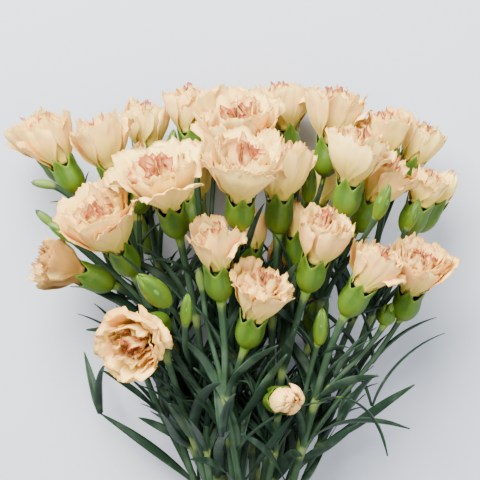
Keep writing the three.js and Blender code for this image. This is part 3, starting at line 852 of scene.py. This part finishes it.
def foliage_material():
    material, maker = new_material("foliage")
    girth = attribute(maker, "girth")  # in millimetres
    mottle, fine = noise_on(maker, 90.0), noise_on(maker, 600.0)
    colour = blend(maker, maker.ease(girth, 1.0, 1.7), BLADE, STEM_DARK)
    colour = blend(maker, maker.ease(mottle, 0.45, 0.7, 0.0, 0.6), colour, WAXY)
    colour = blend(maker, maker.ease(girth, 2.9, 3.6), colour, NODE_PALE)
    colour = blend(maker, maker.ease(girth, 3.6, 4.2), colour, BUD_GREEN)
    looks = {"Roughness": maker.ease(mottle, 0.3, 0.7, 0.45, 0.65), "Specular IOR Level": 0.2}
    end_material(maker, principled(maker, colour, fine, 0.3, 0.15 * MM, looks))
    return material


foliage_finish = foliage_material()

# %% [markdown]
# ## Shut buds
#
# The buds belong to the sprays' bodies, so their places come from the rounded copies: a bud is a thick
# lump that is on no flower's axis. Its longest direction is its axis. Its tip is the end that is nearer
# to its middle, because the other way runs on down inside the stalk. The places could be typed in, but
# then they would be wrong as soon as a spray moved.

# %% Find the shut buds of a spray
BUD_GIRTH = 3.9 * MM  # thicker than a stem's joint
LUMP_REACH = 4 * MM
LUMP_CORNERS = 8  # fewer than this are a stray thick spot
BUD_REACH = 8 * MM  # from a bud's middle to its thickest place, at most
CUP_SIDE = 7.2 * MM  # a lump this near to a calyx's axis is the calyx
SHORTEST, LONGEST = 3.5 * MM, 14 * MM  # from a bud's middle to its tip


def lumps_of(points):
    """Points in groups, each as a list, where neighbours are within LUMP_REACH."""
    groups = []
    for point in points:
        near = [group for group in groups if any((point - other).length < LUMP_REACH for other in group)]
        groups = [group for group in groups if group not in near]
        groups.append([point] + [other for group in near for other in group])
    return groups


def find_buds(places, girths, tree):
    """Each bud's tip, the direction that it points in, its length and half its width."""
    fat = [p for p, g in zip(places, girths) if g > BUD_GIRTH and not near_calyx(p, CUP_SIDE)]
    found = []
    for group in lumps_of(fat):
        if len(group) < LUMP_CORNERS:
            continue
        middle = sum(group, Vector()) / len(group)
        spread = np.array([p - middle for p in group])
        axis = Vector(np.linalg.svd(spread, full_matrices=False)[2][0])
        reaches = [(tree.ray_cast(middle, axis * sign, 2 * FARTHEST)[3] or 1.0, sign) for sign in (1, -1)]
        reach, sign = min(reaches)
        girth = max(g for p, g in zip(places, girths) if (p - middle).length < BUD_REACH)
        if SHORTEST < reach < LONGEST:
            found.append((middle + axis * sign * reach, axis * sign, 2 * reach, girth / 2))
    return found


# %% Dress every spray, and close a calyx round every bud
BUD_FULLER = 1.16  # the skin stands off the CAD body
BUD_TOOTH = 0.5  # a share of the bud's radius
BUD_FOOT = 0.96  # how far below its tip a bud's foot is, as a share of its length
sprays = sorted(name for name in nodes if name.startswith("spray"))
buds = []
for name in sprays:
    mesh, shut = dress_spray(name)
    buds += shut
    add_piece("grown_" + name, mesh, foliage_finish, [name])
print("sprays:", len(sprays), "last one has", len(mesh.polygons), "faces")

for number, (tip, axis, length, radius) in enumerate(buds):
    values = {
        "Radius": radius * BUD_FULLER,
        "Length": length,
        "Tooth": radius * BUD_TOOTH,
        "Closed": 1.0,
    }
    place = standing_at(tip - axis * length * BUD_FOOT, axis, number)
    mesh = mesh_from_tree(calyx_tree, values, "bud", place, CALYX_WALL, calyx_finish)
    add_piece(f"bud_{number:02d}", mesh, calyx_finish)
print("buds:", len(buds), "lengths in mm:", [round(length / MM) for _, _, length, _ in buds])

# %% [markdown]
# ## Scales and leaflets
#
# Two pairs of short pointed scales hug the foot of each calyx, and a little way down its stalk is a
# pair of narrow leaflets. Both are the same thing at two sizes: a few blades evenly round a stalk, each
# an arc that bends away from it. One tree makes either, from a channelled strip with a drawn-out tip.

# %% The blade tree
SHORTER, LONGER = 0.7, 1.25  # how far blades differ in length
ROOT_WIDTH = 0.6  # the blade's root, as a share of its width
TIP_WIDTH = 0.02
STRIP_COLUMNS, STRIP_ROWS = 5, 14
LEAF_GIRTH = 0.8  # in millimetres, which the foliage material takes for a leaf


def build_blade_tree():
    sizes = ("Length", "Width", "Start", "Lift", "Bend", "Channel")
    inputs = {"Blades": "Int", **{size: "Float" for size in sizes}, "Seed": "Int"}
    maker, given = new_tree("blades", inputs)
    sheet, u, v = flat_sheet(maker, STRIP_COLUMNS, STRIP_ROWS)
    sheets, blade = numbered_copies(maker, sheet, given["Blades"])
    odd = random_share(maker, blade, given["Seed"], SHORTER, LONGER)

    # A blade is an arc in the plane through its stalk: it starts at an angle, and bends by another.
    length = given["Length"] * odd
    lift, bend = given["Lift"], given["Bend"] * odd
    arc = lift + bend * v
    out = given["Start"] + length / bend * (maker.math("COSINE", lift) - maker.math("COSINE", arc))
    up = length / bend * (maker.math("SINE", arc) - maker.math("SINE", lift))

    # Its width narrows to the tip, and its edges stand up towards the stalk.
    profile = (1 - v**2.4) * maker.math("MINIMUM", ROOT_WIDTH + v * 2.0, 1.0) + TIP_WIDTH
    aside = given["Width"] / 2 * profile * u
    channel = given["Channel"] * u * u * profile
    out = out - channel * maker.math("COSINE", arc)
    up = up + channel * maker.math("SINE", arc)
    angle = blade * (2 * math.pi) / given["Blades"] + odd

    peak = 1 - maker.math("ABSOLUTE", u)
    stored = {"along": v, "peak": peak, "turn": u * 0.1, "girth": LEAF_GIRTH}
    sheets = store(maker, sheets, stored)
    return finish_tree(maker, bend_round_axis(maker, sheets, out, angle, up, aside), given["Finish"])


blade_tree = build_blade_tree()
print("blade tree:", len(blade_tree.nodes), "nodes")

# %% Keep new leaves out of the flowers
CUP_CLEAR = 5.8 * MM
CUP_FOOT = 0.12  # scales and leaflets may touch this share of a calyx, at its foot
HEAD_MIDDLE = 0.55  # where the middle of a flower is, as a share of its height
HEAD_CLEAR = 0.85  # leaves stay this share of its radius away from there


def runs_through(mesh):
    """Whether a leaf would pass through a calyx or a flower."""
    for vertex in mesh.vertices:
        cup = near_calyx(vertex.co, CUP_CLEAR)
        if cup and cup[1] > CUP_FOOT:
            return True
        for facts in flowers:
            middle = facts["base"] + facts["axis"] * facts["height"] * HEAD_MIDDLE
            if (vertex.co - middle).length < facts["radius"] * HEAD_CLEAR:
                return True
    return False


# %% Scales and leaflets for every flower
SCALES = {
    "Blades": 4,
    "Length": 6.5 * MM,
    "Width": 5.6 * MM,
    "Start": 1.6 * MM,
    "Lift": 0.95,
    "Bend": -1.1,
    "Channel": 1.4 * MM,
}
LEAFLETS = {
    "Blades": 2,
    "Length": 24 * MM,
    "Width": 3.4 * MM,
    "Start": 0.6 * MM,
    "Lift": 0.3,
    "Bend": 0.9,
    "Channel": 0.8 * MM,
}
BLADE_THICKNESS = 0.35 * MM
SCALES_DOWN = 1.0 * MM
HIGHEST_LEAFLETS, LEAFLET_STEP = 10 * MM, 7 * MM  # how far below the calyx
LEAFLET_TURN = 2.1

stalk_points = KDTree(sum(len(nodes[name].data.vertices) for name in sprays))
for name in sprays:
    for vertex in nodes[name].data.vertices:
        stalk_points.insert(vertex.co, vertex.index)
stalk_points.balance()
for number, facts in enumerate(flowers):
    place = standing_at(facts["stalk_end"] - facts["axis"] * SCALES_DOWN, facts["axis"], number)
    values = {**SCALES, "Seed": number}
    mesh = mesh_from_tree(blade_tree, values, "scales", place, BLADE_THICKNESS, calyx_finish)
    add_piece("scales_" + facts["node"], mesh, calyx_finish)
    down = HIGHEST_LEAFLETS + LEAFLET_STEP * (number % 3)
    foot = stalk_points.find(facts["stalk_end"] - facts["axis"] * down)[0]
    place = standing_at(foot, facts["axis"], number * LEAFLET_TURN)
    values = {**LEAFLETS, "Seed": number}
    mesh = mesh_from_tree(blade_tree, values, "leaflets", place, BLADE_THICKNESS, foliage_finish)
    if not runs_through(mesh):
        add_piece("leaflets_" + facts["node"], mesh, foliage_finish)

# %% [markdown]
# ## Leaves low on the stems
#
# Low down, each stem carries pairs of long narrow leaves that arch out and cross their neighbours. The
# CAD sprays hold the main ones. The same blade tree makes more of them, longer and straighter than the
# leaflets, at corners of the sprays chosen with a fixed seed. One that would cut a flower is left out.

# %% Grow the low leaves
LOW_LEAVES = {**LEAFLETS, "Length": 44 * MM, "Width": 4.6 * MM, "Bend": 0.7, "Channel": 1.2 * MM}
LEAVES_PER_SPRAY = 6
LOWEST, HIGHEST = 60 * MM, 140 * MM  # how far above the band leaves start
UNDER = 70 * MM  # and how high over the table at most
chooser = random.Random(5)

for number, name in enumerate(sprays):
    corners = [v.co for v in nodes[name].data.vertices]
    clear = [c for c in corners if LOWEST < c.y - band_high.y < HIGHEST and c.z < UNDER]
    for k in range(LEAVES_PER_SPRAY if clear else 0):
        aim = Vector((chooser.uniform(-0.35, 0.35), 1.0, chooser.uniform(-0.1, 0.35))).normalized()
        place = standing_at(chooser.choice(clear), aim, chooser.uniform(0, 6))
        values = {**LOW_LEAVES, "Seed": 3 * number + k}
        mesh = mesh_from_tree(blade_tree, values, "low_leaves", place, BLADE_THICKNESS, foliage_finish)
        if not runs_through(mesh):
            add_piece(f"low_leaves_{number:02d}_{k}", mesh, foliage_finish)

# %% [markdown]
# ## The rubber band
#
# The band is one loop of round rubber, wound four times. The CAD band is a flat ring, so its outline
# gives the path, and each turn is a cord beside the last one that wanders a little along the stems. A
# curve with a round bevel makes such a cord, where a tree would only add steps.

# %% Rubber material
RUBBER_DARK = (0.50, 0.33, 0.15)
RUBBER_LIGHT = (0.62, 0.44, 0.22)


def rubber_material():
    material, maker = new_material("rubber")
    mottle = noise_on(maker, 400.0)
    colour = blend(maker, mottle, RUBBER_DARK, RUBBER_LIGHT)
    end_material(maker, principled(maker, colour, mottle, 0.4, 0.1 * MM, {"Roughness": 0.7}))
    return material


rubber_finish = rubber_material()

# %% Wind the rubber band
TURNS = 4
CORD_RADIUS = 0.66 * MM
CORD_PITCH = 1.28 * MM
WANDER = 0.3 * MM
STEPS = 72
NUDGE = 0.04  # the angle to each side over which the outline's slope is taken
ring = [v.co for v in nodes["rubber_band"].data.vertices]
band_middle = (band_low + band_high) / 2


def loop_distance(angle):
    """How far the middle of the CAD band's wall is from its centre, in a direction across the stems."""
    way = Vector((math.cos(angle), 0, math.sin(angle)))
    return max((corner - band_middle).dot(way) for corner in ring) - CORD_RADIUS


def cord_place(angle, turn):
    way = Vector((math.cos(angle), 0, math.sin(angle)))
    across = Vector((-way.z, 0, way.x))
    slope = (loop_distance(angle + NUDGE) - loop_distance(angle - NUDGE)) / (2 * NUDGE)
    place = band_middle + way * loop_distance(angle) + across * slope
    place.y += (turn - (TURNS - 1) / 2) * CORD_PITCH + WANDER * math.sin(angle * 2 + turn)
    return place


cord_path = bpy.data.curves.new("cord", "CURVE")
cord_path.dimensions = "3D"
cord_path.bevel_depth = CORD_RADIUS
cord_path.bevel_resolution = 2
for turn in range(TURNS):
    spline = cord_path.splines.new("POLY")
    spline.points.add(STEPS - 1)
    spline.use_cyclic_u = True
    for step in range(STEPS):
        spline.points[step].co = (*cord_place(2 * math.pi * step / STEPS, turn), 1)
cord = bpy.data.objects.new("cord_maker", cord_path)
bpy.context.scene.collection.objects.link(cord)
mesh = plain_mesh(cord)
mesh.polygons.foreach_set("use_smooth", [True] * len(mesh.polygons))
add_piece("wound_band", mesh, rubber_finish, ["rubber_band"])
print("band:", TURNS, "turns,", len(mesh.polygons), "faces")

# %% [markdown]
# ## Table and light
#
# A pale, slightly cool table, a broad soft light above the flowers and a weaker one from the other
# side give the flat, shadowless light of a bright room.

# %% Table and lights
FLOOR_HALF = 1.5
FLOOR_GAP = 0.2 * MM
TABLE_DARK = (0.425, 0.455, 0.51)
TABLE_LIGHT = (0.455, 0.485, 0.53)
floor_mesh = bpy.data.meshes.new("table")
corners = [(x * FLOOR_HALF, y * FLOOR_HALF, -FLOOR_GAP) for x, y in ((-1, -1), (1, -1), (1, 1), (-1, 1))]
floor_mesh.from_pydata(corners, [], [(0, 1, 2, 3)])
table = bpy.data.objects.new("table", floor_mesh)
bpy.context.scene.collection.objects.link(table)
table_finish, maker = new_material("table")
colour = blend(maker, noise_on(maker, 3.0), TABLE_DARK, TABLE_LIGHT)
surface = maker.node(
    "ShaderNodeBsdfPrincipled",
    inputs={"Base Color": colour, "Roughness": 0.9},
)
end_material(maker, surface.outputs[0])
floor_mesh.materials.append(table_finish)


def area_light(name, place, size, power, colour):
    data = bpy.data.lights.new(name, "AREA")
    data.size = size
    data.energy = power
    data.color = colour
    light = bpy.data.objects.new(name, data)
    light.location = view_middle + Vector(place)
    light.rotation_euler = Vector(place).to_track_quat("Z", "Y").to_euler()
    bpy.context.scene.collection.objects.link(light)


area_light("window", (-0.35, 0.75, 0.9), 0.9, 92.0, (1.0, 0.98, 0.95))
area_light("room", (0.7, -0.3, 1.0), 1.2, 16.0, (0.95, 0.97, 1.0))
world = bpy.data.worlds.new("room")
world.use_nodes = True
sky = world.node_tree.nodes["Background"].inputs
sky["Color"].default_value = (0.86, 0.89, 0.96, 1.0)
sky["Strength"].default_value = 0.74
bpy.context.scene.world = world
